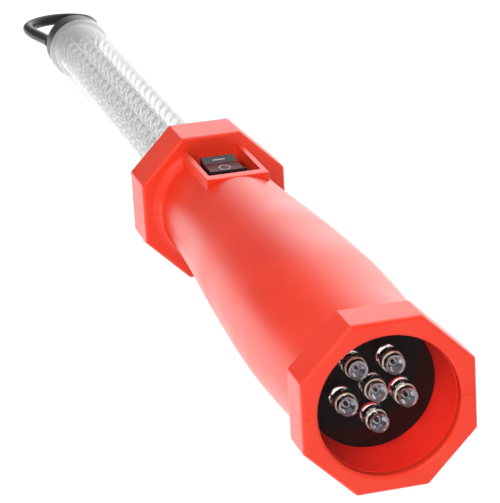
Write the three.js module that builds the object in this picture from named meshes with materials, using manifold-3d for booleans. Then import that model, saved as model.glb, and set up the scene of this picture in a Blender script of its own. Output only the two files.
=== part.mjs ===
// Rechargeable LED hand lamp: a two-shell handle with a torch in its front collar,
// a clear light tube behind its rear collar, and a folding hanging loop on a swivel cap.
// Millimetres, +Z up. The lamp lies on the bottom flats of its two octagonal collars.
// While it is built, y = 0 is the torch end's face, z = 0 is the lamp's axis; +Y runs to the loop.
import * as THREE from 'three';
import { mergeVertices } from 'three/addons/utils/BufferGeometryUtils.js';
import Module from 'manifold-3d';

const wasm = await Module();
wasm.setup();

// ---- driving dimensions -------------------------------------------------------------------
const acrossFlats = 44;          // both collars
const frontCollarLength = 12.2;
const rearCollarStart = 166.3;
const rearCollarLength = 16.5;
const rearCollarEnd = rearCollarStart + rearCollarLength;
const collarBevel = 1.1;
const wall = 2.5;                // handle shell
const seamGap = 0.2;             // between the two shells
const gap = 0.3;                 // between pieces that touch
const outlineSteps = 15;         // rings along the handle
const shellSides = 36;           // facets round the handle

// handle outline: distance from the torch face, radius
const handleOutline = [
  [11, 19.6], [30, 20.5], [48, 21.2], [64, 21.3], [84, 20.7],
  [108, 19.5], [136, 17.8], [160, 16.9], [164, 17.3], [167, 19.6],
];

const mouthRadius = 17.9;        // torch mouth in the front collar
const linerBore = 18.9;          // wider bore behind the mouth's lip
const lipLength = 2.9;
const lensFront = 0.9;
const lensThickness = 1.8;
const linerEnd = 15.5;
const linerFrontRadius = 17.3;
const linerRearRadius = 16.6;
const plateFront = 15.8;
const plateThickness = 1.4;
const boardThickness = 1.6;
const torchLedTip = 7.7;
const torchLedBase = 17.3;
const torchLedWaist = 11.9;
const torchLedRadius = 2.53;
const torchLedFlange = 2.85;
const torchLedCircle = 8;        // five LEDs stand on this radius, the sixth on the axis
const torchCavityEnd = 20.5;
const cavityEndRadius = 17.4;
const hollowSpan = [torchCavityEnd + 3, 162];  // where the hollow follows the handle's outline
const tubeEntryRadius = 14.2;    // end of the hollow, in front of the tube's flange

const pocketTop = 18;
const pocketFloor = 11.6;
const pocketFloorThickness = 2;
const pocketStart = 136.4;
const pocketHalfWidth = 9.4;
const pocketInnerStart = 140.1;
const pocketInnerHalfWidth = 7.75;
const switchCentre = 153.2;
const bezelHalf = [7.4, 10.4];   // across, along the lamp
const bezelThickness = 1.9;
const switchBodyHalf = [6.4, 9.4];
const switchBodyDepth = 14;
const switchHoleDepth = 6;       // cuts reach this far below the pocket's floor
const rockerHalf = [5.2, 8.1];
const rockerPivotHeight = pocketFloor + 0.2;
const rockerEndHeight = 17.3;
const rockerMiddleHeight = 16.2;
const rockerEndPlay = 0.6;
const rockerKeel = [3, 3.4];     // half length of the flat under the pivot, its depth
const rockerWing = 4;            // length of each raised end
const rockerNose = [0.3, 0.7, 0.4];  // end's setback at its corner and top, corner's drop
const terminalPitch = 6;
const terminalHalf = [2.4, 0.4];
const terminalLength = 7;

const cellRadius = 7.25;
const cellLength = 50.5;
const cellStart = 56;
const cellCircle = 8.6;
const cellButtonRadius = 2.7;
const cellButtonHeight = 1.2;
const cellPlateRadius = 15.8;
const cellPlateThickness = 1.6;
const leadNotch = [2, -18, -11.6];  // half width, bottom, top of the plates' notch for the lead

const socketPlace = 118;         // charging socket, under the handle
const socketRadius = 4;
const socketLip = 18.6;          // lip, inner end, bore and pin, measured below the axis
const socketInner = 9;
const socketBore = [2.8, 10.5];
const socketPin = [1, 17];
const socketBase = [4.5, 5, 14.6];  // half width, half length, bottom
const chargeBoardHalfWidth = 9;
const chargeBoardSpan = [109.5, 130.5];
const chargeBoardHeight = [-8.4, -6.8];
const leadRadius = 0.8;
// routes of the two cables, [x, y, z]
const torchLeadRoute = [
  [0, 20.6, -13.6], [0, 32, -13.6], [0, 45, -13.8], [0, 60, -13.8], [0, 80, -13.8],
  [0, 100, -13.8], [0, 108.6, -13.6], [0, 111, -12], [0, 111.4, -9.6],
];
const tubeLeadRoute = [
  [-7.5, 131.2, -7.6], [-8.6, 138, -8], [-9.2, 150, -8], [-8.4, 160, -6], [-7, 172, -1.8],
];

const tubeStart = 171;
const tubeEnd = 369;
const tubeStartRadius = 15.35;
const tubeEndRadius = 12;
const tubeWall = 1.8;
const tubeFlangeRadius = 16.8;
const tubeFlangeLength = 2;
const collarBore = 15.6;
const sealGroove = [177, 179.4];
const sealGrooveRadius = 17;
const tubeEndRound = [0.6, 0.8]; // across, along

const ledBoardTop = -1;
const ledBoardHalfWidth = 9;
const ledBoardSpan = [173, 362];
const ledPitch = 7.5;
const ledRows = 24;
const ledFirst = 186;
const ledColumnPitch = 6;
const ledRadius = 2.5;
const ledHeight = 8.5;
const ledShoulder = 6.6;
const stripHalfWidth = 2.85;
const stripThickness = 0.8;

const plugFlange = [369.3, 370.9];
const plugDepth = 364;
const plugFlangeRadius = 11.2;
const ledgeAcross = [5, 8];      // two ledges that carry the board
const ledgeReach = 8;
const ledgeThickness = 1.6;
const capStart = 371.2;
const capEnd = 381;
const capRadius = 11.2;
const capRound = [0.7, 2.4];     // setbacks of the cap's rounded edge
const stemRadius = 3.2;
const stemStart = 362.4;
const grooveDepth = 0.9;         // groove in the stem, for the clip
const grooveSpan = [plugDepth - 1.2, plugDepth - 0.2];
const clipReach = 1.6;           // beyond the stem
const clipPlay = 0.1;
const clipBite = 0.7;
const clipMouth = 1.4;
const loopPivot = 383.8;
const lugHalfWidth = 6.1;
const lugRadius = 2.7;
const pinRadius = 1.2;
const runningGap = 0.2;
const eyeHalf = [6.4, 9.8];
const eyeRadius = 2.4;
const loopStrand = 2.1;
const loopHalfWidth = 12.4;
const loopShoulder = 409.5;
const loopEnd = 421;
const loopEase = [9, 10];        // how far each leg runs straight from the eye, to the shoulder
const overallLength = loopEnd + loopStrand;

const screwShank = 1.25;
const screwHead = 2.5;
const bossRadius = 3;
const screwHeadHeight = 1.9;
const screwTop = 5.4;
const screwHoleTop = 6;
// across, along the lamp, depth of the head's seat below the lamp's axis
const screwPlaces = [
  [14.2, 29, 10.5],
  [12, 132, 9.5],
  [18.9, 174.5, 9],
];

// ---- materials ----------------------------------------------------------------------------
const finish = (color, roughness, metalness = 0) =>
  new THREE.MeshStandardMaterial({ color, roughness, metalness });
const redPlastic = finish('#f03a22', 0.42);
const blackPlastic = finish('#2b2926', 0.45);
const glossBlack = finish('#120a0a', 0.12);
const clearPlastic = finish('#f2f6f6', 0.06);
const whiteBoard = finish('#e6e8e6', 0.5);
const greenBoard = finish('#1f5a36', 0.5);
const clearResin = finish('#dfe4ea', 0.08);
const cellJacket = finish('#3f7f59', 0.4);
const steel = finish('#b9bcc0', 0.3, 1);
const brass = finish('#c9a24a', 0.3, 1);
const rubber = finish('#1a1a1a', 0.8);
const redWire = finish('#b3201c', 0.5);

// ---- solids -------------------------------------------------------------------------------
function solidOf(geometry) {
  geometry.deleteAttribute('normal');
  geometry.deleteAttribute('uv');
  const merged = mergeVertices(geometry, 1e-4);
  const position = merged.getAttribute('position');
  const corners = [0, 1, 2].map(() => new THREE.Vector3());
  const kept = [];
  let volume = 0;
  for (let i = 0; i < merged.index.count; i += 3) {
    const triangle = [0, 1, 2].map((k) => merged.index.getX(i + k));
    if (new Set(triangle).size < 3) continue;
    triangle.forEach((v, k) => corners[k].fromBufferAttribute(position, v));
    volume += corners[0].dot(corners[1].clone().cross(corners[2]));
    kept.push(triangle);
  }
  const triangles = volume < 0 ? kept.map(([a, b, c]) => [a, c, b]) : kept;
  const mesh = new wasm.Mesh({
    numProp: 3,
    vertProperties: new Float32Array(position.array),
    triVerts: new Uint32Array(triangles.flat()),
  });
  return new wasm.Manifold(mesh);
}

function node(name, solid, material) {
  const { vertProperties, triVerts } = solid.getMesh();
  const geometry = new THREE.BufferGeometry();
  geometry.setAttribute('position', new THREE.BufferAttribute(vertProperties, 3));
  geometry.setIndex(new THREE.BufferAttribute(triVerts, 1));
  geometry.computeVertexNormals();
  const mesh = new THREE.Mesh(geometry, material);
  mesh.name = name;
  return mesh;
}

// a shape turned about the lamp's axis; the outline is [radius, y] and closes on itself
function turned(outline, sides) {
  const points = outline.map(([radius, y]) => new THREE.Vector2(radius, y));
  const onAxis = outline[0][0] === 0 && outline.at(-1)[0] === 0;
  if (!onAxis) points.push(points[0].clone());
  return solidOf(new THREE.LatheGeometry(points, sides));
}

const disc = (radius, y0, y1, sides = 32) =>
  turned([[0, y0], [radius, y0], [radius, y1], [0, y1]], sides);

const ring = (outer, inner, y0, y1, sides = 32) =>
  turned([[inner, y0], [outer, y0], [outer, y1], [inner, y1]], sides);

function block([x0, x1], [y0, y1], [z0, z1]) {
  const box = new THREE.BoxGeometry(x1 - x0, y1 - y0, z1 - z0);
  box.translate((x0 + x1) / 2, (y0 + y1) / 2, (z0 + z1) / 2);
  return solidOf(box);
}

function uprightRod(radius, x, y, [z0, z1], sides = 12) {
  const rod = new THREE.CylinderGeometry(radius, radius, z1 - z0, sides);
  rod.rotateX(Math.PI / 2);
  rod.translate(x, y, (z0 + z1) / 2);
  return solidOf(rod);
}

function crossRod(radius, [x0, x1], y, z, sides = 16) {
  const rod = new THREE.CylinderGeometry(radius, radius, x1 - x0, sides);
  rod.rotateZ(Math.PI / 2);
  rod.translate((x0 + x1) / 2, y, z);
  return solidOf(rod);
}

// a flat octagon in x and z, extruded along the lamp, with its edges bevelled
function octagonCollar(y0, length) {
  const half = acrossFlats / 2 - collarBevel;
  const cornerRadius = half / Math.cos(Math.PI / 8);
  const outline = new THREE.Shape();
  for (let i = 0; i < 8; i += 1) {
    const angle = Math.PI / 8 + (i * Math.PI) / 4;
    const x = cornerRadius * Math.cos(angle);
    const z = cornerRadius * Math.sin(angle);
    if (i === 0) outline.moveTo(x, z);
    else outline.lineTo(x, z);
  }
  outline.closePath();
  const collar = new THREE.ExtrudeGeometry(outline, {
    depth: length - 2 * collarBevel,
    bevelThickness: collarBevel,
    bevelSize: collarBevel,
    bevelSegments: 2,
  });
  collar.rotateX(-Math.PI / 2);
  collar.translate(0, y0 + collarBevel, 0);
  return solidOf(collar);
}

// a round cable along a path of [x, y, z] points
function cable(points, radius, steps, sides = 8) {
  const section = new THREE.Shape();
  section.absarc(0, 0, radius, 0, 2 * Math.PI);
  const path = new THREE.CatmullRomCurve3(points.map((p) => new THREE.Vector3(...p)));
  return solidOf(new THREE.ExtrudeGeometry(section, {
    extrudePath: path, steps, curveSegments: sides / 2, bevelEnabled: false,
  }));
}

// ---- handle shells ------------------------------------------------------------------------
function handleRadii(steps) {
  const knots = handleOutline.map(([y, radius]) => new THREE.Vector2(radius, y));
  return new THREE.SplineCurve(knots).getPoints(steps).map((p) => [p.x, p.y]);
}

function handleBody() {
  const side = handleRadii(outlineSteps);
  const outside = turned([[0, side[0][1]], ...side, [0, side.at(-1)[1]]], shellSides)
    .add(octagonCollar(0, frontCollarLength))
    .add(octagonCollar(rearCollarStart, rearCollarLength));
  return outside.subtract(handleHollow(side));
}

function handleHollow(side) {
  const cavityEnd = tubeStart - gap;
  const inner = side
    .filter(([, y]) => y > hollowSpan[0] && y < hollowSpan[1])
    .map(([radius, y]) => [radius - wall, y]);
  const outline = [
    [0, -1], [mouthRadius, -1], [mouthRadius, lipLength], [linerBore, lipLength],
    [linerBore, torchCavityEnd], [cavityEndRadius, torchCavityEnd], ...inner,
    [tubeEntryRadius, cavityEnd], [tubeFlangeRadius + gap, cavityEnd],
    [tubeFlangeRadius + gap, tubeStart + tubeFlangeLength + gap],
    [collarBore, tubeStart + tubeFlangeLength + gap],
    [collarBore, sealGroove[0]], [sealGrooveRadius, sealGroove[0]],
    [sealGrooveRadius, sealGroove[1]], [collarBore, sealGroove[1]],
    [collarBore, rearCollarEnd + 1], [0, rearCollarEnd + 1],
  ];
  return turned(outline, shellSides);
}

function switchPocket(body) {
  const outerBlock = block([-pocketHalfWidth, pocketHalfWidth], [pocketStart, rearCollarStart + 1],
    [pocketFloor - pocketFloorThickness, pocketTop]);
  const above = block([-pocketHalfWidth, pocketHalfWidth], [pocketStart, rearCollarStart],
    [pocketTop, pocketTop + 3]);
  const inside = block([-pocketInnerHalfWidth, pocketInnerHalfWidth],
    [pocketInnerStart, rearCollarStart], [pocketFloor, pocketTop + 3]);
  const bodyHole = block([-switchBodyHalf[0] - gap, switchBodyHalf[0] + gap],
    [switchCentre - switchBodyHalf[1] - gap, switchCentre + switchBodyHalf[1] + gap],
    [pocketFloor - switchHoleDepth, pocketFloor + 1]);
  return body.add(outerBlock).subtract(above).subtract(inside).subtract(bodyHole);
}

function screwBosses() {
  const bosses = [];
  const bossSpan = [-acrossFlats / 2, acrossFlats / 2];
  for (const [x, y] of screwPlaces.slice(0, 2)) {
    for (const side of [-1, 1]) bosses.push(uprightRod(bossRadius, side * x, y, bossSpan));
  }
  const envelope = handleRadii(outlineSteps).map(([radius, y]) => [radius - 1, y]);
  const inside = turned([[0, envelope[0][1]], ...envelope, [0, envelope.at(-1)[1]]], shellSides);
  return bosses.map((boss) => boss.intersect(inside));
}

function shellHalf(upper) {
  let body = handleBody();
  for (const boss of screwBosses()) body = body.add(boss);
  body = switchPocket(body);
  const z = upper ? [seamGap / 2, 30] : [-30, -seamGap / 2];
  body = body.intersect(block([-30, 30], [-1, 200], z));
  for (const [x, y, seat] of screwPlaces) {
    for (const side of [-1, 1]) {
      if (upper) {
        body = body.subtract(uprightRod(screwShank + gap, side * x, y, [-1, screwHoleTop]));
      } else {
        body = body.subtract(uprightRod(screwShank + gap, side * x, y, [-30, 1]));
        body = body.subtract(uprightRod(screwHead + gap, side * x, y, [-30, -seat]));
      }
    }
  }
  if (upper) return body;
  return body.subtract(chargeHole());
}

function shellScrew(x, y, seat) {
  const under = -seat - gap;
  const head = uprightRod(screwHead, x, y, [under - screwHeadHeight, under]);
  const shank = uprightRod(screwShank, x, y, [under - screwHeadHeight / 2, screwTop]);
  return head.add(shank);
}

// ---- charging socket in the bottom shell ---------------------------------------------------
function chargeHole() {
  return uprightRod(socketRadius + gap, 0, socketPlace, [-30, -10], 20);
}

function chargeSocket() {
  const [halfWidth, halfLength, bottom] = socketBase;
  const body = uprightRod(socketRadius, 0, socketPlace, [-socketLip, -socketInner], 20)
    .add(block([-halfWidth, halfWidth], [socketPlace - halfLength, socketPlace + halfLength],
      [-bottom, -socketInner]));
  const bore = uprightRod(socketBore[0], 0, socketPlace, [-30, -socketBore[1]], 16);
  const pin = uprightRod(socketPin[0], 0, socketPlace, [-socketPin[1], -socketBore[1] + 0.5], 12);
  return body.subtract(bore).add(pin);
}

// ---- torch --------------------------------------------------------------------------------
function ledPlaces() {
  const places = [[0, 0]];
  for (let i = 0; i < 5; i += 1) {
    const angle = -Math.PI / 2 + (i * 2 * Math.PI) / 5;
    places.push([torchLedCircle * Math.cos(angle), torchLedCircle * Math.sin(angle)]);
  }
  return places;
}

function torchLiner() {
  return turned([
    [linerFrontRadius, lipLength + gap], [linerBore - gap, lipLength + gap],
    [linerBore - gap, linerEnd], [linerRearRadius, linerEnd],
  ], 36);
}

function torchPlate() {
  let plate = disc(linerBore - gap, plateFront, plateFront + plateThickness, 36);
  for (const [x, z] of ledPlaces()) {
    const hole = disc(torchLedFlange + gap, plateFront - 1, plateFront + 3, 20).translate(x, 0, z);
    plate = plate.subtract(hole);
  }
  return plate;
}

function torchLed() {
  return turned([
    [0, torchLedTip], [1.2, torchLedTip + 0.3], [2.1, torchLedTip + 1.1],
    [torchLedRadius, torchLedTip + 2.5], [torchLedRadius, torchLedWaist],
    [torchLedFlange, torchLedWaist], [torchLedFlange, torchLedBase], [0, torchLedBase],
  ], 14);
}

// ---- switch -------------------------------------------------------------------------------
function switchHousing() {
  const flange = block([-bezelHalf[0], bezelHalf[0]],
    [switchCentre - bezelHalf[1], switchCentre + bezelHalf[1]],
    [pocketFloor + gap, pocketFloor + gap + bezelThickness]);
  const body = block([-switchBodyHalf[0], switchBodyHalf[0]],
    [switchCentre - switchBodyHalf[1], switchCentre + switchBodyHalf[1]],
    [pocketFloor - switchBodyDepth, pocketFloor + 1]);
  const well = block([-rockerHalf[0] - gap, rockerHalf[0] + gap],
    [switchCentre - rockerHalf[1] - rockerEndPlay, switchCentre + rockerHalf[1] + rockerEndPlay],
    [pocketFloor - switchHoleDepth, pocketTop]);
  return flange.add(body).subtract(well);
}

// side outline: flat bottom on the pivot, two wings that rise from the middle to the ends
function rocker() {
  const [halfWidth, halfLength] = rockerHalf;
  const [keelHalf, keelDepth] = rockerKeel;
  const [corner, top, drop] = rockerNose;
  const side = [
    [halfLength, rockerPivotHeight], [halfLength - corner, rockerEndHeight - drop],
    [halfLength - top, rockerEndHeight], [halfLength - rockerWing, rockerMiddleHeight],
  ];
  const outline = new THREE.Shape();
  outline.moveTo(-keelHalf, rockerPivotHeight - keelDepth);
  outline.lineTo(keelHalf, rockerPivotHeight - keelDepth);
  for (const [along, height] of side) outline.lineTo(along, height);
  for (const [along, height] of side.reverse()) outline.lineTo(-along, height);
  outline.closePath();
  const profile = new THREE.ExtrudeGeometry(outline, { depth: 2 * halfWidth, bevelEnabled: false });
  profile.translate(0, 0, -halfWidth);
  profile.rotateZ(Math.PI / 2);
  profile.rotateY(Math.PI / 2);
  profile.translate(0, switchCentre, 0);
  return solidOf(profile);
}

function switchTerminal(offset) {
  const top = pocketFloor - switchBodyDepth - gap;
  const [across, along] = terminalHalf;
  return block([-across, across], [offset - along, offset + along], [top - terminalLength, top]);
}

// ---- power --------------------------------------------------------------------------------
function cell(angle) {
  const [x, z] = [cellCircle * Math.cos(angle), cellCircle * Math.sin(angle)];
  const canEnd = cellStart + cellLength - cellButtonHeight;
  const can = disc(cellRadius, cellStart, canEnd, 20);
  const button = disc(cellButtonRadius, canEnd - 0.5, cellStart + cellLength, 12);
  return can.add(button).translate(x, 0, z);
}

function cellPlate(y0) {
  const [half, low, high] = leadNotch;
  const notch = block([-half, half], [y0 - 1, y0 + 5], [low, high]);
  return disc(cellPlateRadius, y0, y0 + cellPlateThickness, 28).subtract(notch);
}

// ---- light tube ---------------------------------------------------------------------------
const tubeRadiusAt = (y) => tubeStartRadius
  + ((tubeEndRadius - tubeStartRadius) * (y - tubeStart)) / (tubeEnd - tubeStart);

function lightTube() {
  const flangeEnd = tubeStart + tubeFlangeLength;
  return turned([
    [tubeStartRadius - tubeWall, tubeStart], [tubeFlangeRadius, tubeStart],
    [tubeFlangeRadius, flangeEnd], [tubeRadiusAt(flangeEnd), flangeEnd],
    [tubeEndRadius, tubeEnd - tubeEndRound[1]], [tubeEndRadius - tubeEndRound[0], tubeEnd],
    [tubeEndRadius - tubeWall, tubeEnd],
  ], 40);
}

function ledStrip(column) {
  const x = column * ledColumnPitch;
  const foot = ledBoardTop + gap;
  const last = ledFirst + (ledRows - 1) * ledPitch;
  let strip = block([x - stripHalfWidth, x + stripHalfWidth],
    [ledFirst - stripHalfWidth, last + stripHalfWidth], [foot, foot + stripThickness]);
  for (let row = 0; row < ledRows; row += 1) {
    const led = turned([
      [0, stripThickness / 2], [ledRadius, stripThickness / 2], [ledRadius, ledShoulder],
      [0, ledHeight],
    ], 6).rotate([90, 0, 0]).translate(x, ledFirst + row * ledPitch, foot);
    strip = strip.add(led);
  }
  return strip;
}

// ---- loop end -----------------------------------------------------------------------------
function endPlug() {
  const spigot = tubeEndRadius - tubeWall - gap;
  const ledge = ledBoardTop - boardThickness - gap;
  let plug = disc(spigot, plugDepth, plugFlange[0] + 0.5, 36)
    .add(disc(plugFlangeRadius, plugFlange[0], plugFlange[1], 36))
    .subtract(disc(stemRadius + runningGap, 300, 400, 32));
  const [near, far] = ledgeAcross;
  for (const x of [[near, far], [-far, -near]]) {
    plug = plug.add(block(x, [plugDepth - ledgeReach, plugDepth + 1], [ledge - ledgeThickness, ledge]));
  }
  return plug;
}

function swivelCap() {
  const [slight, full] = capRound;
  const shoulder = turned([
    [0, capStart], [capRadius, capStart], [capRadius, capEnd - full],
    [capRadius - slight, capEnd - slight], [capRadius - full, capEnd], [0, capEnd],
  ], 36);
  const stem = disc(stemRadius, stemStart, capStart + 1, 32);
  const groove = ring(stemRadius + 1, stemRadius - grooveDepth, ...grooveSpan, 32);
  const lugBlock = block([-lugHalfWidth, lugHalfWidth], [capEnd - 1, loopPivot],
    [-lugRadius, lugRadius]);
  const lugNose = crossRod(lugRadius, [-lugHalfWidth, lugHalfWidth], loopPivot, 0);
  const pinHole = crossRod(pinRadius + gap / 2, [-30, 30], loopPivot, 0);
  return shoulder.add(stem).subtract(groove).add(lugBlock).add(lugNose).subtract(pinHole);
}

function swivelClip() {
  const mouth = block([-clipMouth, clipMouth], [300, 400], [-8, 0]);
  return ring(stemRadius + clipReach, stemRadius - clipBite,
    grooveSpan[0] + clipPlay, grooveSpan[1] - clipPlay, 24).subtract(mouth);
}

function hangingLoop() {
  const leg = new THREE.CubicBezierCurve3(
    new THREE.Vector3(eyeHalf[0] + loopStrand, loopPivot + 0.5, 0),
    new THREE.Vector3(eyeHalf[0] + loopStrand, loopPivot + loopEase[0], 0),
    new THREE.Vector3(loopHalfWidth, loopShoulder - loopEase[1], 0),
    new THREE.Vector3(loopHalfWidth, loopShoulder, 0),
  );
  const legPoints = leg.getPoints(8);
  const bow = [];
  for (let i = 1; i < 12; i += 1) {
    const angle = (i * Math.PI) / 12;
    bow.push(new THREE.Vector3(loopHalfWidth * Math.cos(angle),
      loopShoulder + (loopEnd - loopShoulder) * Math.sin(angle), 0));
  }
  const back = legPoints.map((p) => new THREE.Vector3(-p.x, p.y, 0)).reverse();
  const route = [...legPoints, ...bow, ...back].map((p) => [p.x, p.y, p.z]);
  let loop = cable(route, loopStrand, 38);
  for (const side of [-1, 1]) {
    const span = side < 0 ? [-eyeHalf[1], -eyeHalf[0]] : eyeHalf;
    loop = loop.add(crossRod(eyeRadius, span, loopPivot, 0));
  }
  return loop.subtract(crossRod(pinRadius + runningGap, [-30, 30], loopPivot, 0));
}

// ---- assembly -----------------------------------------------------------------------------
const lamp = new THREE.Group();
lamp.position.set(0, -overallLength / 2, acrossFlats / 2);

lamp.add(node('handle_top_shell', shellHalf(true), redPlastic));
lamp.add(node('handle_bottom_shell', shellHalf(false), redPlastic));
let screwNumber = 1;
for (const [x, y, seat] of screwPlaces) {
  for (const side of [-1, 1]) {
    lamp.add(node(`shell_screw_${screwNumber}`, shellScrew(side * x, y, seat), steel));
    screwNumber += 1;
  }
}

const lensRadius = mouthRadius - gap;
const torchBoardFront = torchLedBase + gap;
lamp.add(node('torch_lens', disc(lensRadius, lensFront, lensFront + lensThickness, 36), clearPlastic));
lamp.add(node('torch_liner', torchLiner(), redPlastic));
lamp.add(node('torch_plate', torchPlate(), glossBlack));
lamp.add(node('torch_board',
  disc(linerBore - gap, torchBoardFront, torchBoardFront + boardThickness, 28), greenBoard));
ledPlaces().forEach(([x, z], i) => {
  const led = node(`torch_led_${i + 1}`, torchLed(), clearResin);
  led.position.set(x, 0, z);
  lamp.add(led);
});

lamp.add(node('switch_housing', switchHousing(), blackPlastic));
lamp.add(node('switch_rocker', rocker(), glossBlack));
[-terminalPitch, 0, terminalPitch].forEach((offset, i) => {
  lamp.add(node(`switch_terminal_${i + 1}`, switchTerminal(switchCentre + offset), brass));
});

for (let i = 0; i < 3; i += 1) {
  const angle = Math.PI / 2 + (i * 2 * Math.PI) / 3;
  lamp.add(node(`battery_cell_${i + 1}`, cell(angle), cellJacket));
}
lamp.add(node('cell_plate_front', cellPlate(cellStart - gap - cellPlateThickness), whiteBoard));
lamp.add(node('cell_plate_rear', cellPlate(cellStart + cellLength + gap), whiteBoard));
lamp.add(node('charge_board', block([-chargeBoardHalfWidth, chargeBoardHalfWidth],
  chargeBoardSpan, chargeBoardHeight), greenBoard));
lamp.add(node('charge_socket', chargeSocket(), blackPlastic));
lamp.add(node('torch_lead', cable(torchLeadRoute, leadRadius, 14, 6), redWire));
lamp.add(node('tube_lead', cable(tubeLeadRoute, leadRadius, 12, 6), redWire));

lamp.add(node('light_tube', lightTube(), clearPlastic));
lamp.add(node('tube_seal', ring(sealGrooveRadius - gap, tubeRadiusAt(sealGroove[0]) + 0.15,
  sealGroove[0] + gap, sealGroove[1] - gap, 32), rubber));
lamp.add(node('led_board', block([-ledBoardHalfWidth, ledBoardHalfWidth], ledBoardSpan,
  [ledBoardTop - boardThickness, ledBoardTop]), whiteBoard));
['left', 'middle', 'right'].forEach((side, i) => {
  lamp.add(node(`led_strip_${side}`, ledStrip(i - 1), clearResin));
});

lamp.add(node('end_plug', endPlug(), blackPlastic));
lamp.add(node('swivel_cap', swivelCap(), blackPlastic));
lamp.add(node('swivel_clip', swivelClip(), steel));
lamp.add(node('loop_pin', crossRod(pinRadius, [-eyeHalf[1], eyeHalf[1]], loopPivot, 0, 12), steel));
lamp.add(node('hanging_loop', hangingLoop(), blackPlastic));

export default lamp;
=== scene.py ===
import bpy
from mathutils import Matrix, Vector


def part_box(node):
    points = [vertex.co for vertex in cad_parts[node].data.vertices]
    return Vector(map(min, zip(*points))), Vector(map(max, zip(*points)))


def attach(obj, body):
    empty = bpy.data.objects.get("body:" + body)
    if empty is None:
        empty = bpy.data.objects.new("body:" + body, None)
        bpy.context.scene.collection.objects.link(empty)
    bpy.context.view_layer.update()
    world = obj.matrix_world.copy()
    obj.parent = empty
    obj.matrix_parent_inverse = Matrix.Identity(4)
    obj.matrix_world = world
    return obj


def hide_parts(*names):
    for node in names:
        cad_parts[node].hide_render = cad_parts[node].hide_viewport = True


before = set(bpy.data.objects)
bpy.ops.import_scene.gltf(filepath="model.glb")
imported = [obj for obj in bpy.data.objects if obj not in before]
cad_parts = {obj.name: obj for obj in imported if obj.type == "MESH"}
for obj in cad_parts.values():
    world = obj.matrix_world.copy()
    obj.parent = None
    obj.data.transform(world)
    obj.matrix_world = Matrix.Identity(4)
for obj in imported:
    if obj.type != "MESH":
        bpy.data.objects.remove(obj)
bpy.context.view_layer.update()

import math

import bmesh
import bpy
from mathutils import Matrix, Vector
from mathutils.geometry import interpolate_bezier

print("frame loaded:", len(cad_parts), "nodes")

# Pieces are modelled in millimetres, with y = 0 at the torch face and z = 0 on the lamp's axis.
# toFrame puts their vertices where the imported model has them.
shellLow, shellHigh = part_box("handle_top_shell")
axisHeight = shellHigh.z / 2
toFrame = Matrix.Translation((0, shellLow.y, axisHeight)) @ Matrix.Scale(0.001, 4)

cameraSet = {
    "place": (-161.5, -512.0, 229.3),  # from the centre of the torch face
    "azimuth": -14.17,
    "elevation": 19.33,
    "roll": -3.37,
    "lens": 174.9,
}


def makeCamera():
    data = bpy.data.cameras.new("camera")
    data.lens = cameraSet["lens"]
    data.sensor_width = 36
    data.clip_start = 0.05
    camera = bpy.data.objects.new("camera", data)
    bpy.context.scene.collection.objects.link(camera)
    azimuth, elevation, roll = (math.radians(cameraSet[k]) for k in ("azimuth", "elevation", "roll"))
    turn = (Matrix.Rotation(azimuth, 4, "Z") @ Matrix.Rotation(math.pi / 2 - elevation, 4, "X")
            @ Matrix.Rotation(roll, 4, "Z"))
    camera.matrix_world = Matrix.Translation(toFrame @ Vector(cameraSet["place"])) @ turn
    bpy.context.scene.camera = camera


makeCamera()


def lathe(outline, segments=64):
    # turns (radius, y) points about the lamp's axis; an outline off the axis is closed first
    bm = bmesh.new()
    verts = [bm.verts.new((r, y, 0)) for r, y in outline]
    edges = [bm.edges.new(pair) for pair in zip(verts, verts[1:])]
    if outline[0][0] > 0 or outline[-1][0] > 0:
        edges.append(bm.edges.new((verts[-1], verts[0])))
    bmesh.ops.spin(bm, geom=verts + edges, cent=(0, 0, 0), axis=(0, 1, 0), dvec=(0, 0, 0),
                   angle=2 * math.pi, steps=segments, use_merge=True, use_duplicate=False)
    bmesh.ops.remove_doubles(bm, verts=bm.verts, dist=1e-4)
    bmesh.ops.recalc_face_normals(bm, faces=bm.faces)
    return bm


def arc(centre, radius, start, end, count):
    # (radius, y) points from the start angle to the end angle, in degrees
    angles = [math.radians(start + (end - start) * i / count) for i in range(count + 1)]
    return [(centre[0] + radius * math.cos(a), centre[1] + radius * math.sin(a)) for a in angles]


def disc(radius, y0, y1, edge=0.15, segments=48):
    outline = [(0, y0)] + arc((radius - edge, y0 + edge), edge, 270, 360, 3)
    outline += arc((radius - edge, y1 - edge), edge, 0, 90, 3) + [(0, y1)]
    return lathe(outline, segments)


def bevelEdges(bm, edges, offset, segments=3):
    bmesh.ops.bevel(bm, geom=list(edges), offset=offset, offset_type="OFFSET", affect="EDGES",
                    segments=segments, profile=0.5, material=-1, clamp_overlap=True)


def cuboid(x, y, z, bevel=0.0, segments=3):
    bm = bmesh.new()
    size = Vector((x[1] - x[0], y[1] - y[0], z[1] - z[0]))
    middle = Vector((x[1] + x[0], y[1] + y[0], z[1] + z[0])) / 2
    bmesh.ops.create_cube(bm, size=1, matrix=Matrix.Translation(middle) @ Matrix.Diagonal((*size, 1)))
    if bevel:
        bevelEdges(bm, bm.edges, bevel, segments)
    return bm


def rod(radius, start, end, segments=32, edge=0.0):
    start, end = Vector(start), Vector(end)
    turn = (end - start).to_track_quat("Z", "Y").to_matrix().to_4x4()
    bm = bmesh.new()
    bmesh.ops.create_cone(bm, cap_ends=True, segments=segments, radius1=radius, radius2=radius,
                          depth=(end - start).length, matrix=Matrix.Translation((start + end) / 2) @ turn)
    if edge:
        bevelEdges(bm, [e for f in bm.faces if len(f.verts) > 4 for e in f.edges], edge, 3)
    return bm


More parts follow.
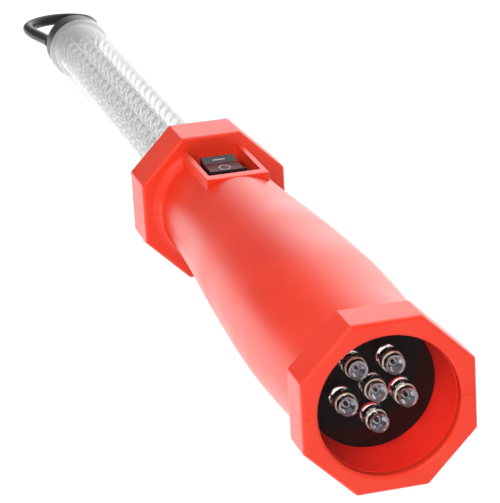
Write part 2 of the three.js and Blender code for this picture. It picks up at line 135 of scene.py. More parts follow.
def sweep(route, radius, segments=12):
    # a round section is pushed along the route, turning with it
    route = [Vector(p) for p in route]
    ways = [(b - a).normalized() for a, b in zip([route[0]] + route[:-1], route[1:] + [route[-1]])]
    bm = bmesh.new()
    turn = ways[0].to_track_quat("Z", "Y").to_matrix().to_4x4()
    bmesh.ops.create_circle(bm, cap_ends=True, segments=segments, radius=radius,
                            matrix=Matrix.Translation(route[0]) @ turn)
    bm.faces.ensure_lookup_table()
    front = bm.faces[0]
    for i in range(1, len(route)):
        grown = bmesh.ops.extrude_face_region(bm, geom=[front])["geom"]
        front = next(g for g in grown if isinstance(g, bmesh.types.BMFace) and len(g.verts) == segments)
        moved = [g for g in grown if isinstance(g, bmesh.types.BMVert)]
        bmesh.ops.translate(bm, verts=moved, vec=route[i] - route[i - 1])
        swing = ways[i - 1].rotation_difference(ways[i]).to_matrix()
        bmesh.ops.rotate(bm, verts=moved, cent=route[i], matrix=swing)
    bmesh.ops.recalc_face_normals(bm, faces=bm.faces)
    return bm


def meshOf(bm):
    mesh = bpy.data.meshes.new("work")
    bm.to_mesh(mesh)
    bm.free()
    return mesh


def addTo(bm, other, place=None):
    mesh = meshOf(other)
    if place is not None:
        mesh.transform(place)
    bm.from_mesh(mesh)
    bpy.data.meshes.remove(mesh)
    return bm


def combine(base, steps):
    # joins and cuts closed meshes one after another; steps are (operation, bmesh)
    body = bpy.data.objects.new("work", meshOf(base))
    bpy.context.scene.collection.objects.link(body)
    for operation, bm in steps:
        tool = bpy.data.objects.new("tool", meshOf(bm))
        bpy.context.scene.collection.objects.link(tool)
        cut = body.modifiers.new("cut", "BOOLEAN")
        cut.operation = operation
        cut.solver = "EXACT"
        cut.object = tool
        graph = bpy.context.evaluated_depsgraph_get()
        result = bpy.data.meshes.new_from_object(body.evaluated_get(graph))
        body.modifiers.clear()
        body.data = result
        bpy.data.objects.remove(tool)
    bm = bmesh.new()
    bm.from_mesh(body.data)
    bpy.data.objects.remove(body)
    bmesh.ops.remove_doubles(bm, verts=bm.verts, dist=0.001)
    return bm


def placePiece(bm, name, material, body, nodes=(), sharp=34, recalc=True):
    # an edge stays hard where it turns by more than the angle in sharp, in degrees
    bmesh.ops.remove_doubles(bm, verts=bm.verts, dist=1e-4)
    if recalc:
        bmesh.ops.recalc_face_normals(bm, faces=bm.faces)
    mesh = meshOf(bm)
    mesh.name = name
    mesh.transform(toFrame)
    mesh.shade_smooth()
    mesh.set_sharp_from_angle(angle=math.radians(sharp))
    mesh.materials.append(material)
    piece = bpy.data.objects.new(name, mesh)
    bpy.context.scene.collection.objects.link(piece)
    even = piece.modifiers.new("evenFlats", "WEIGHTED_NORMAL")
    even.keep_sharp = True
    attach(piece, body)
    if nodes:
        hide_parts(*nodes)
    return piece


def newGroup(name, inputs, outputs):
    group = bpy.data.node_groups.new(name, "ShaderNodeTree")
    for label, value in inputs:
        socket = group.interface.new_socket(label, in_out="INPUT", socket_type="NodeSocketFloat")
        socket.default_value = value
    for label, kind in outputs:
        group.interface.new_socket(label, in_out="OUTPUT", socket_type=kind)
    return group, group.nodes.new("NodeGroupInput"), group.nodes.new("NodeGroupOutput")


grainSet = {"detail": 3, "depth": 0.00006, "driftScale": 38, "driftDetail": 4, "driftSpan": (0.3, 0.7)}


def makeMouldGrain():
    # the fine texture of a moulding tool, with slow drifts of gloss and shade
    group, entry, leave = newGroup("mouldGrain", [
        ("Grain Scale", 2400), ("Grain Depth", 0.1), ("Rough Low", 0.3), ("Rough High", 0.4),
    ], [("Roughness", "NodeSocketFloat"), ("Shade", "NodeSocketFloat"), ("Normal", "NodeSocketVector")])
    nodes, links = group.nodes, group.links
    coords = nodes.new("ShaderNodeTexCoord")
    fine = nodes.new("ShaderNodeTexNoise")
    fine.inputs["Detail"].default_value = grainSet["detail"]
    slow = nodes.new("ShaderNodeTexNoise")
    slow.inputs["Scale"].default_value = grainSet["driftScale"]
    slow.inputs["Detail"].default_value = grainSet["driftDetail"]
    bump = nodes.new("ShaderNodeBump")
    bump.inputs["Distance"].default_value = grainSet["depth"]
    span = nodes.new("ShaderNodeMapRange")
    for socket, value in zip(("From Min", "From Max"), grainSet["driftSpan"]):
        span.inputs[socket].default_value = value
    links.new(coords.outputs["Object"], fine.inputs["Vector"])
    links.new(coords.outputs["Object"], slow.inputs["Vector"])
    links.new(entry.outputs["Grain Scale"], fine.inputs["Scale"])
    links.new(entry.outputs["Grain Depth"], bump.inputs["Strength"])
    links.new(fine.outputs["Fac"], bump.inputs["Height"])
    links.new(slow.outputs["Fac"], span.inputs["Value"])
    links.new(entry.outputs["Rough Low"], span.inputs["To Min"])
    links.new(entry.outputs["Rough High"], span.inputs["To Max"])
    links.new(span.outputs["Result"], leave.inputs["Roughness"])
    links.new(slow.outputs["Fac"], leave.inputs["Shade"])
    links.new(bump.outputs["Normal"], leave.inputs["Normal"])
    return group


mouldGrain = makeMouldGrain()


def newMaterial(name, settings):
    material = bpy.data.materials.new(name)
    material.use_nodes = True
    shader = material.node_tree.nodes["Principled BSDF"]
    for socket, value in settings.items():
        shader.inputs[socket].default_value = value
    return material, shader


def addGrain(material, shader, rough, grain):
    nodes, links = material.node_tree.nodes, material.node_tree.links
    group = nodes.new("ShaderNodeGroup")
    group.node_tree = mouldGrain
    for label, value in zip(("Grain Scale", "Grain Depth", "Rough Low", "Rough High"), (*grain, *rough)):
        group.inputs[label].default_value = value
    links.new(group.outputs["Roughness"], shader.inputs["Roughness"])
    links.new(group.outputs["Normal"], shader.inputs["Normal"])
    return group


def solidFinish(name, dark, light, rough, grain=(2400, 0.1), **settings):
    # two close shades drift over the surface, under a fine grain
    material, shader = newMaterial(name, {k.replace("_", " "): v for k, v in settings.items()})
    group = addGrain(material, shader, rough, grain)
    shades = material.node_tree.nodes.new("ShaderNodeValToRGB")
    for stop, position, colour in zip(shades.color_ramp.elements, (0.35, 0.65), (dark, light)):
        stop.position = position
        stop.color = (*colour, 1)
    material.node_tree.links.new(group.outputs["Shade"], shades.inputs["Fac"])
    material.node_tree.links.new(shades.outputs["Color"], shader.inputs["Base Color"])
    return material


clearSet = {"grain": (300, 0.02), "wallIor": 1.46, "rimBlend": 0.5, "rimSpan": (0.55, 1.0)}


def clearFinish(name, tint, ior, rough):
    material, shader = newMaterial(name, {"Base Color": (*tint, 1), "IOR": ior,
                                          "Transmission Weight": 1.0})
    addGrain(material, shader, rough, clearSet["grain"])
    return material


def windowFinish(name, tint, rough, least, most):
    # a thin clear wall: it fades from the least cover, seen squarely, to the most along its rim
    material, shader = newMaterial(name, {"Base Color": (*tint, 1), "IOR": clearSet["wallIor"]})
    addGrain(material, shader, rough, clearSet["grain"])
    nodes, links = material.node_tree.nodes, material.node_tree.links
    rim = nodes.new("ShaderNodeLayerWeight")
    rim.inputs["Blend"].default_value = clearSet["rimBlend"]
    cover = nodes.new("ShaderNodeMapRange")
    cover.interpolation_type = "SMOOTHSTEP"
    values = (*clearSet["rimSpan"], least, most)
    for socket, value in zip(("From Min", "From Max", "To Min", "To Max"), values):
        cover.inputs[socket].default_value = value
    links.new(rim.outputs["Facing"], cover.inputs["Value"])
    links.new(cover.outputs["Result"], shader.inputs["Alpha"])
    return material


redShell = solidFinish("redShell", (0.69, 0.029, 0.009), (0.75, 0.04, 0.014), (0.29, 0.39), (2600, 0.12),
                       IOR=1.62)
# the liner's red is lighter than the shell's: painted light for the cavity behind the lens, which the lamps
# leave dim
litRedLiner = solidFinish("litRedLiner", (0.93, 0.022, 0.012), (0.97, 0.032, 0.016), (0.16, 0.24), (2600, 0.04))
satinBlack = solidFinish("satinBlack", (0.018, 0.017, 0.015), (0.026, 0.024, 0.022), (0.3, 0.38),
                         (2200, 0.1), Specular_IOR_Level=0.26)
# gloss black for the torch plate, tinted red: a painted reflection of the red liner around it
glossBlackRedReflection = solidFinish("glossBlackRedReflection", (0.008, 0.003, 0.003), (0.012, 0.005, 0.005), (0.07, 0.13),
                         (2600, 0.02), Specular_IOR_Level=0.3)
switchBlack = solidFinish("switchBlack", (0.011, 0.007, 0.008), (0.017, 0.011, 0.012), (0.22, 0.3),
                          (3000, 0.06), Specular_IOR_Level=0.3)
printGrey = solidFinish("printGrey", (0.3, 0.28, 0.3), (0.36, 0.34, 0.36), (0.5, 0.6))
whiteMask = solidFinish("whiteMask", (0.78, 0.79, 0.78), (0.84, 0.85, 0.84), (0.3, 0.4))
greenMask = solidFinish("greenMask", (0.01, 0.09, 0.035), (0.016, 0.13, 0.05), (0.25, 0.35))
softRubber = solidFinish("softRubber", (0.012, 0.012, 0.012), (0.02, 0.02, 0.02), (0.7, 0.85))
cellSleeve = solidFinish("cellSleeve", (0.04, 0.19, 0.09), (0.06, 0.24, 0.12), (0.25, 0.35))
redCable = solidFinish("redCable", (0.5, 0.02, 0.012), (0.58, 0.03, 0.018), (0.4, 0.5))
# cream for the rings at the torch LEDs' waists, a painted highlight
highlightRing = solidFinish("highlightRing", (0.62, 0.55, 0.38), (0.72, 0.65, 0.48), (0.35, 0.45))
zincSteel = solidFinish("zincSteel", (0.5, 0.5, 0.52), (0.6, 0.6, 0.61), (0.25, 0.4), (1500, 0.1),
                        Metallic=1.0)
tinBrass = solidFinish("tinBrass", (0.6, 0.42, 0.18), (0.68, 0.5, 0.24), (0.25, 0.38), (1500, 0.1),
                       Metallic=1.0)
cupMetal = solidFinish("cupMetal", (0.3, 0.3, 0.32), (0.4, 0.4, 0.42), (0.22, 0.35), (1500, 0.1),
                       Metallic=1.0)
clearTube = windowFinish("clearTube", (0.93, 0.94, 0.92), (0.16, 0.24), 0.19, 0.5)
clearLens = windowFinish("clearLens", (0.05, 0.05, 0.05), (0.02, 0.05), 0.03, 0.3)
ledResin = clearFinish("ledResin", (0.97, 0.975, 0.985), 1.5, (0.02, 0.05))
print("materials ready")

handleSet = {
    "acrossFlats": 44.0,
    "frontCollar": (0.0, 12.2),
    "rearCollar": (166.3, 182.8),
    "faceEdge": 1.25,
    "sideEdge": 0.35,
    "wall": 2.5,
    "seam": 0.03,
    "segments": 96,
    # distance from the torch face, radius
    "outline": [(30, 20.5), (48, 21.2), (64, 21.3), (84, 20.7), (108, 19.5), (136, 17.8),
                (160, 16.85)],
    "neck": 16.75,
    "cove": 3.2,
    "frontCove": 1.6,
    "frontNeck": 19.75,
    "frontRise": (20, 20.05),
    "frontBore": 17.4,
    "rearBore": 14.2,
    # how far the handle runs into the collars, and how far cuts pass the faces that they meet
    "frontOverlap": 3,
    "rearOverlap": 2,
    "coveOverlap": 0.05,
    "graze": 0.02,
    "beyond": 2,
    # the half space that keeps one shell
    "splitHalf": 40,
    "splitSpan": (-5, 200),
}
torchSet = {
    "mouth": 17.9, "lip": 2.9, "lipRound": 1.1, "linerBore": 18.9, "cavityEnd": 20.5,
    "linerFront": 2.95, "linerEnd": 15.6, "linerRadii": (17.75, 18.6, 16.6),
    "lens": (0.9, 2.7, 17.85), "plate": (15.8, 17.2, 18.6), "board": (17.6, 19.2, 18.6),
    "ledCircle": 8.0, "ledTip": 7.7, "ledWaist": 11.9, "ledBase": 17.3,
    "ledRadius": 2.53, "ledFlange": 2.85, "ledHole": 3.1, "ledHoleSpan": (10, 20),
}
tubeSet = {
    "start": 171.0, "end": 369.0, "startRadius": 15.35, "endRadius": 12.0, "wall": 1.8,
    "flangeRadius": 16.8, "flangeEnd": 173.0, "collarBore": 15.6,
    "seal": (177.0, 179.4), "sealRadius": 17.0, "play": 0.3, "endRound": 1.3,
    "boreRound": 0.8, "sealGap": 0.15, "sealPlay": 0.3,
}
pocketSet = {
    "halfWidth": 9.4, "start": 136.4, "top": 18.0, "floor": 11.6, "under": 2.0,
    "innerHalf": 7.75, "innerStart": 140.1, "innerEnd": 0.4, "innerCorner": 0.6, "edge": 0.45,
    "holeHalf": (6.7, 9.7), "holeDepth": (6, 1), "centre": 153.2,
    # how far the cutting shapes keep inside the outline, pass the collar's face and stand above
    "inset": 0.5, "graze": 0.02, "cutOverlap": 1, "wallOverlap": 3, "clear": 4, "innerClear": 5,
}
bossSet = {"radius": 3, "reach": 22, "inset": 1, "start": (19.3, 25.4), "end": 160, "segments": 47}
screwSet = {
    "places": ((14.2, 29, 10.5), (12, 132, 9.5), (18.9, 174.5, 9)),  # across, along, seat depth
    "headHole": 2.8, "shankHole": 1.55, "head": 2.5, "shank": 1.25, "headHeight": 1.9, "top": 5.4,
    "sink": 0.3, "headEdge": 0.35, "shankEdge": 0.5, "cross": (1.5, 0.32), "crossDepth": 1.1,
    "outside": 30, "holeTop": 6, "overlap": 1,
}
socketSet = {
    "place": 118.0, "radius": 4.0, "hole": 4.3, "holeSpan": (-30, -10), "bore": 2.8,
    "boreSpan": (-30, -10.5), "lip": 18.6, "back": -9, "blockHalf": (4.5, 5), "blockLow": -14.6,
    "pin": 1.0, "pinSpan": (-17, -10.6), "edge": 0.3, "pinEdge": 0.35,
}


def smoothLine(knots, perSpan):
    # a Catmull-Rom line through (y, radius) knots, given back as (radius, y)
    points = []
    for i in range(len(knots) - 1):
        around = (knots[max(i - 1, 0)], knots[i], knots[i + 1], knots[min(i + 2, len(knots) - 1)])
        for s in range(perSpan):
            t = s / perSpan
            y, r = (0.5 * (2 * b + (c - a) * t + (2 * a - 5 * b + 4 * c - d) * t * t
                           + (3 * b - a - 3 * c + d) * t ** 3) for a, b, c, d in zip(*around))
            points.append((r, y))
    points.append(knots[-1][::-1])
    return points


def octagon(y0, y1):
    radius = handleSet["acrossFlats"] / 2 / math.cos(math.pi / 8)
    face = Matrix.Translation((0, y0, 0)) @ Matrix.Rotation(math.pi / 2, 4, "X")
    bm = bmesh.new()
    bmesh.ops.create_circle(bm, cap_ends=True, segments=8, radius=radius,
                            matrix=face @ Matrix.Rotation(math.pi / 8, 4, "Z"))
    grown = bmesh.ops.extrude_face_region(bm, geom=list(bm.faces))
    moved = [v for v in grown["geom"] if isinstance(v, bmesh.types.BMVert)]
    bmesh.ops.translate(bm, verts=moved, vec=(0, y1 - y0, 0))
    bmesh.ops.recalc_face_normals(bm, faces=bm.faces)
    along = [e for e in bm.edges if abs(e.verts[0].co.y - e.verts[1].co.y) > 1]
    bevelEdges(bm, along, handleSet["sideEdge"], 2)
    rims = [e for e in bm.edges if abs(e.verts[0].co.y - e.verts[1].co.y) < 1e-3
            and abs(e.link_faces[0].normal.dot(e.link_faces[1].normal)) < 0.5]
    bevelEdges(bm, rims, handleSet["faceEdge"], 4)
    bmesh.ops.remove_doubles(bm, verts=bm.verts, dist=0.002)
    return bm


def handleOutside():
    # the solid between the collars, which runs a little way into both
    h = handleSet
    frontRear, rearFace = h["frontCollar"][1], h["rearCollar"][0]
    cove, frontCove, neck, start = h["cove"], h["frontCove"], h["neck"], h["frontNeck"]
    first, last, lap = frontRear - h["frontOverlap"], rearFace + h["rearOverlap"], h["coveOverlap"]
    knots = [(frontRear + frontCove, start), h["frontRise"]] + h["outline"]
    knots.append((rearFace - cove, neck))
    outline = [(0, first), (start + frontCove, first)]
    outline += arc((start + frontCove, frontRear + frontCove - lap), frontCove, 270, 180, 5)
    outline += smoothLine(knots, 4)[1:]
    outline += arc((neck + cove, rearFace - cove + lap), cove, 180, 90, 8)[1:]
    outline += [(neck + cove, last), (0, last)]
    return lathe(outline, h["segments"])


def handleHollow():
    h, t, tube = handleSet, torchSet, tubeSet
    beyond, graze, lipRound = h["beyond"], h["graze"], t["lipRound"]
    rim = t["mouth"] + lipRound
    outline = [(0, -beyond), (rim, -beyond)] + arc((rim, lipRound - graze), lipRound, 270, 180, 6)
    outline += [(t["mouth"], t["lip"]), (t["linerBore"], t["lip"]), (t["linerBore"], t["cavityEnd"]),
                (h["frontBore"], t["cavityEnd"])]
    outline += [(r - h["wall"], y) for r, y in smoothLine(h["outline"], 2)]
    play, bore, sealRadius = tube["play"], tube["collarBore"], tube["sealRadius"]
    flangeBore = tube["flangeRadius"] + play
    sealStart, sealEnd = tube["seal"]
    outline += [(h["rearBore"], tube["start"] - play), (flangeBore, tube["start"] - play),
                (flangeBore, tube["flangeEnd"] + play), (bore, tube["flangeEnd"] + play),
                (bore, sealStart), (sealRadius, sealStart), (sealRadius, sealEnd), (bore, sealEnd)]
    end, flare = h["rearCollar"][1], tube["boreRound"]
    outline += arc((bore + flare, end - flare + graze), flare, 180, 90, 4)
    outline += [(bore + flare, end + beyond), (0, end + beyond)]
    return lathe(outline, h["segments"])


def pocketCuts():
    # clears the handle's own surface from the pocket, before the collar is joined behind it
    p = pocketSet
    behind = handleSet["rearCollar"][0] + p["cutOverlap"]
    rim, top = p["halfWidth"] - p["inset"], p["top"]
    above = cuboid((-rim, rim), (p["start"] + p["inset"], behind), (top - p["graze"], top + p["clear"]))
    half = p["innerHalf"]
    inside = cuboid((-half, half), (p["innerStart"], behind), (p["floor"], top + p["innerClear"]))
    return [("DIFFERENCE", above), ("DIFFERENCE", inside)]


def pocketSteps():
    # the pocket's own floor and walls, let into the collar, and the hole for the switch
    p = pocketSet
    rear, floor, top, graze = handleSet["rearCollar"][0], p["floor"], p["top"], p["graze"]
    walls = cuboid((-p["halfWidth"], p["halfWidth"]), (p["start"], rear + p["wallOverlap"]),
                   (floor - p["under"], top), p["edge"])
    half = p["innerHalf"] - graze
    inside = cuboid((-half, half), (p["innerStart"] + graze, rear + p["innerEnd"]),
                    (floor + graze, top + p["clear"]))
    bevelEdges(inside, [e for e in inside.edges if abs(e.verts[0].co.z - e.verts[1].co.z) > 1],
               p["innerCorner"])
    x, y = p["holeHalf"]
    under, over = p["holeDepth"]
    hole = cuboid((-x, x), (p["centre"] - y, p["centre"] + y), (floor - under, floor + over))
    return [("UNION", combine(walls, [("DIFFERENCE", inside)])), ("DIFFERENCE", hole)]


def bossSteps():
    # pillars for the four screws in the handle, trimmed to stay inside its wall
    b = bossSet
    radius, start = b["start"]
    envelope = [(r - b["inset"], y) for r, y in smoothLine(handleSet["outline"], 2)]
    inside = lathe([(0, start), (radius, start)] + envelope + [(0, b["end"])], b["segments"])
    steps = []
    for x, y, _ in screwSet["places"][:2]:
        for side in (-1, 1):
            pillar = rod(b["radius"], (side * x, y, -b["reach"]), (side * x, y, b["reach"]), 24)
            steps.append(("UNION", combine(pillar, [("INTERSECT", inside.copy())])))
    inside.free()
    return steps


def screwSteps(upper):
    c = screwSet
    outside, lap = c["outside"], c["overlap"]
    low, high = (-lap, c["holeTop"]) if upper else (-outside, lap)
    steps = []
    for x, y, seat in c["places"]:
        for side in (-1, 1):
            axis = side * x
            steps.append(("DIFFERENCE", rod(c["shankHole"], (axis, y, low), (axis, y, high), 16)))
            if not upper:
                head = rod(c["headHole"], (axis, y, -outside), (axis, y, -seat), 32)
                steps.append(("DIFFERENCE", head))
    return steps


def makeShells():
    collars = [("UNION", octagon(*handleSet[name])) for name in ("frontCollar", "rearCollar")]
    hollow = [("DIFFERENCE", handleHollow())]
    whole = combine(handleOutside(), pocketCuts() + collars + hollow + bossSteps() + pocketSteps())
    for upper, name in ((True, "handle_top_shell"), (False, "handle_bottom_shell")):
        half, seam = handleSet["splitHalf"], handleSet["seam"]
        z = (seam, half) if upper else (-half, -seam)
        steps = [("INTERSECT", cuboid((-half, half), handleSet["splitSpan"], z))] + screwSteps(upper)
        if not upper:
            place = socketSet["place"]
            low, high = socketSet["holeSpan"]
            steps.append(("DIFFERENCE", rod(socketSet["hole"], (0, place, low), (0, place, high), 48)))
        shell = combine(whole.copy(), steps)
        placePiece(shell, "handleTop" if upper else "handleBottom", redShell, "lamp",
                   [name], 30, recalc=False)
    whole.free()


makeShells()
print("handle shells made")


def makeScrews():
    s = screwSet
    number = 1
    for x, y, seat in s["places"]:
        for side in (-1, 1):
            axis = side * x
            under = -seat - s["sink"]
            low = under - s["headHeight"]
            depth = (low - s["overlap"], low + s["crossDepth"])
            screw = rod(s["head"], (axis, y, low), (axis, y, under), 32, s["headEdge"])
            cross = [("DIFFERENCE", cuboid((axis - a, axis + a), (y - b, y + b), depth))
                     for a, b in (s["cross"], s["cross"][::-1])]
            shank = rod(s["shank"], (axis, y, under - s["shankEdge"]), (axis, y, s["top"]), 20,
                        s["shankEdge"])
            screw = combine(screw, [("UNION", shank)] + cross)
            placePiece(screw, "shellScrew_%d" % number, zincSteel, "lamp",
                       ["shell_screw_%d" % number])
            number += 1


makeScrews()


def ledSpots():
    spots = [(0.0, 0.0)]
    for i in range(5):
        angle = math.radians(-90 + 72 * i)
        spots.append((torchSet["ledCircle"] * math.cos(angle), torchSet["ledCircle"] * math.sin(angle)))
    return spots


def makeTorch():
    t = torchSet
    front, back, radius = t["lens"]
    placePiece(disc(radius, front, back, 0.25, 96), "torchLens", clearLens, "lamp",
               ["torch_lens"])
    inner, outer, rear = t["linerRadii"]
    liner = lathe([(inner, t["linerFront"]), (outer, t["linerFront"]), (outer, t["linerEnd"]),
                   (rear, t["linerEnd"])], 96)
    placePiece(liner, "torchLiner", litRedLiner, "lamp", ["torch_liner"])
    low, high = t["ledHoleSpan"]
    holes = [("DIFFERENCE", rod(t["ledHole"], (x, low, z), (x, high, z), 32)) for x, z in ledSpots()]
    front, back, radius = t["plate"]
    placePiece(combine(disc(radius, front, back, 0.1, 96), holes), "torchPlate", glossBlackRedReflection, "lamp",
               ["torch_plate"])
    front, back, radius = t["board"]
    placePiece(disc(radius, front, back, 0.1, 64), "torchBoard", greenMask, "lamp",
               ["torch_board"])
    for number, (x, z) in enumerate(ledSpots(), 1):
        makeTorchLed(number, Matrix.Translation((x, 0, z)))


torchLedSet = {
    "dome": 1.9, "cupFront": 10.2, "cupBack": 12.4, "cupRadius": 1.75,
    "bowl": 1.35, "bowlFloor": 0.55, "bowlDepth": 1.0, "cupRim": 0.5, "cupFoot": 0.9,
    "die": 0.34, "dieSpan": (0.8, 1.02), "lead": 0.25, "leadOffset": 1.1, "leadClose": 0.6,
    "leadInto": 0.6, "leadShort": 0.4, "waistRound": 0.5, "flangeRound": 0.45, "footRound": 0.3,
    # the ring's gaps from the body and the flange, and its steps in front of the waist
    "ringGap": 0.03, "ringLip": 0.16, "ringInset": 0.04, "ringSteps": (0.42, 0.38, 0.15, 0.03),
}


def makeTorchLed(number, place):
    t, led = torchSet, torchLedSet
    tip, waist, base = t["ledTip"], t["ledWaist"], t["ledBase"]
    radius, flange = t["ledRadius"], t["ledFlange"]
    dome = led["dome"]
    outline = [(0, tip)]
    for i in range(1, 9):  # a dome flatter than a half ball, as wide as the body
        angle = math.radians(90 * i / 8)
        outline.append((radius * math.sin(angle), tip + dome * (1 - math.cos(angle))))
    inner, outer, foot = led["waistRound"], led["flangeRound"], led["footRound"]
    outline += [(radius, waist - inner)] + arc((radius + inner, waist - inner), inner, 180, 90, 4)[1:-1]
    outline += arc((flange - outer, waist + outer), outer, 270, 360, 4)
    outline += arc((flange - foot, base - foot), foot, 0, 90, 3) + [(0, base)]
    body = addTo(bmesh.new(), lathe(outline, 48), place)
    placePiece(body, "torchLed_%d" % number, ledResin, "lamp",
               ["torch_led_%d" % number], 50)
    front, back, bowlEnd = led["cupFront"], led["cupBack"], led["cupFront"] + led["bowlDepth"]
    cup = lathe([(0, bowlEnd), (led["bowlFloor"], bowlEnd), (led["bowl"], front),
                 (led["cupRadius"], front), (led["cupRadius"], front + led["cupRim"]),
                 (led["cupFoot"], back), (0, back)], 32)
    for side in (-1, 1):
        offset = side * led["leadOffset"]
        addTo(cup, rod(led["lead"], (offset * led["leadClose"], back - led["leadInto"], 0),
                       (offset, base - led["leadShort"], 0), 12))
    placePiece(addTo(bmesh.new(), cup, place), "torchLedCup_%d" % number, cupMetal, "lamp")
    dieFront, dieBack = led["dieSpan"]
    die = disc(led["die"], front + dieFront, front + dieBack, 0.03, 12)
    placePiece(addTo(bmesh.new(), die, place), "torchLedDie_%d" % number, switchBlack, "lamp")
    # a cream ring at the waist: a painted highlight standing in for the glint on the step's fillet
    bore, lip, rim = radius + led["ringGap"], radius + led["ringLip"], flange - led["ringInset"]
    first, second, third, last = (waist - step for step in led["ringSteps"])
    ring = lathe([(bore, first), (lip, second), (rim, third), (rim, last), (bore, last)], 48)
    placePiece(addTo(bmesh.new(), ring, place), "torchLedHighlightRing_%d" % number, highlightRing, "lamp")


makeTorch()
print("torch made")

switchSet = {
    "bezelHalf": (7.4, 10.4), "bezel": 1.9, "play": 0.3, "bodyHalf": (6.4, 9.4), "depth": 14.0,
    "rockerHalf": (5.2, 8.1), "end": 17.3, "middle": 16.2, "wing": 4.1, "edge": 0.3,
    "barHalf": (1.85, 0.3), "barPlace": 5.6, "ringRadius": 1.75, "ringWidth": 0.36, "ringStretch": 1.3,
    "ringPlace": -1.3, "markDepth": (-0.02, 0.03),
    "bezelEdge": 0.3, "bodyEdge": 0.2, "bodyOverlap": 1, "wellPlay": (0.3, 0.6), "wellDepth": 6,
    "wellTop": 20, "pivotRise": 0.2, "keelHalf": 3, "keel": 3.4, "lean": 0.45,
}


def makeSwitch():
    s = switchSet
    centre, floor = pocketSet["centre"], pocketSet["floor"]
    (bx, by), (hx, hy), (rx, ry) = s["bezelHalf"], s["bodyHalf"], s["rockerHalf"]
    flange = cuboid((-bx, bx), (centre - by, centre + by),
                    (floor + s["play"], floor + s["play"] + s["bezel"]), s["bezelEdge"])
    body = cuboid((-hx, hx), (centre - hy, centre + hy),
                  (floor - s["depth"], floor + s["bodyOverlap"]), s["bodyEdge"])
    px, py = s["wellPlay"]
    well = cuboid((-rx - px, rx + px), (centre - ry - py, centre + ry + py),
                  (floor - s["wellDepth"], s["wellTop"]))
    placePiece(combine(flange, [("UNION", body), ("DIFFERENCE", well)]), "switchHousing", switchBlack,
               "lamp", ["switch_housing"])
    bm = bmesh.new()
    pivot = floor + s["pivotRise"]
    keel, low, lean = s["keelHalf"], pivot - s["keel"], s["lean"]
    side = [(-ry, pivot), (-keel, low), (keel, low), (ry, pivot), (ry - lean, s["end"]),
            (s["wing"], s["middle"]), (-s["wing"], s["middle"]), (lean - ry, s["end"])]
    profile = bm.faces.new([bm.verts.new((-rx, centre + y, z)) for y, z in side])
    grown = bmesh.ops.extrude_face_region(bm, geom=[profile])["geom"]
    bmesh.ops.translate(bm, verts=[v for v in grown if isinstance(v, bmesh.types.BMVert)],
                        vec=(2 * rx, 0, 0))
    bmesh.ops.recalc_face_normals(bm, faces=bm.faces)
    bevelEdges(bm, [e for e in bm.edges if min(v.co.z for v in e.verts) > pivot], s["edge"])
    placePiece(bm, "switchRocker", switchBlack, "rocker", ["switch_rocker"])
    placePiece(rockerMarks(), "rockerMarks", printGrey, "rocker")


def rockerMarks():
    # a bar across the far wing and a ring on the middle, the usual on and off marks
    s = switchSet
    centre, middle = pocketSet["centre"], s["middle"]
    wing = s["wing"]
    rise = math.atan2(s["end"] - middle, s["rockerHalf"][1] - s["lean"] - wing)
    bx, by = s["barHalf"]
    along = s["barPlace"] - wing
    low, high = s["markDepth"]
    bar = cuboid((-bx, bx), (along - by, along + by), (low, high))
    place = Matrix.Translation((0, centre + wing, middle)) @ Matrix.Rotation(rise, 4, "X")
    bm = addTo(bmesh.new(), bar, place)
    inner, outer = s["ringRadius"] - s["ringWidth"], s["ringRadius"]
    ring = lathe([(inner, low), (outer, low), (outer, high), (inner, high)], 48)
    place = (Matrix.Translation((0, centre + s["ringPlace"], middle))
             @ Matrix.Diagonal((1, s["ringStretch"], 1, 1)) @ Matrix.Rotation(math.pi / 2, 4, "X"))
    return addTo(bm, ring, place)


makeSwitch()
print("switch made")


def tubeRadius(y):
    t = tubeSet
    return t["startRadius"] + (t["endRadius"] - t["startRadius"]) * (y - t["start"]) / (t["end"] - t["start"])


def makeTube():
    t = tubeSet
    start, end, wall, rounding = t["start"], t["end"], t["wall"], t["endRound"]
    outline = [(t["startRadius"] - wall, start), (t["flangeRadius"], start),
               (t["flangeRadius"], t["flangeEnd"]), (tubeRadius(t["flangeEnd"]), t["flangeEnd"])]
    outline += arc((t["endRadius"] - rounding, end - rounding), rounding, 0, 90, 6)
    outline += [(t["endRadius"] - wall, end)]
    placePiece(lathe(outline, 96), "lightTube", clearTube, "lamp", ["light_tube"], 50)
    low, high = t["seal"]
    play = t["sealPlay"]
    inner, outer = tubeRadius(low) + t["sealGap"], t["sealRadius"] - play
    seal = lathe([(inner, low + play), (outer, low + play), (outer, high - play), (inner, high - play)],
                 64)
    placePiece(seal, "tubeSeal", softRubber, "lamp", ["tube_seal"])


makeTube()

lightBoardSet = {
    "halfWidth": 9.0, "span": (173.0, 362.0), "top": -1.0, "thickness": 1.6,
    "first": 186.0, "pitch": 7.5, "rows": 24, "columns": {"left": -6.0, "middle": 0.0, "right": 6.0},
    "ledRadius": 2.5, "ledFlange": 2.85, "flangeHeight": 1.0, "ledTop": 7.8,
    "cupHeight": 3.6, "cupRadius": 1.3, "lead": 0.25, "leadOffset": 1.27,
    "pad": 0.9, "padHeight": 0.25, "edge": 0.12, "lift": 0.03,
    # the cup's bowl, from its rim, and where the leads join it
    "bowlFloor": 0.4, "bowlDepth": 0.6, "cupRim": 0.3, "cupFoot": 0.6, "cupDepth": 1.2,
    "leadLow": 0.05, "leadDrop": 1.0, "leadClose": 0.4,
}


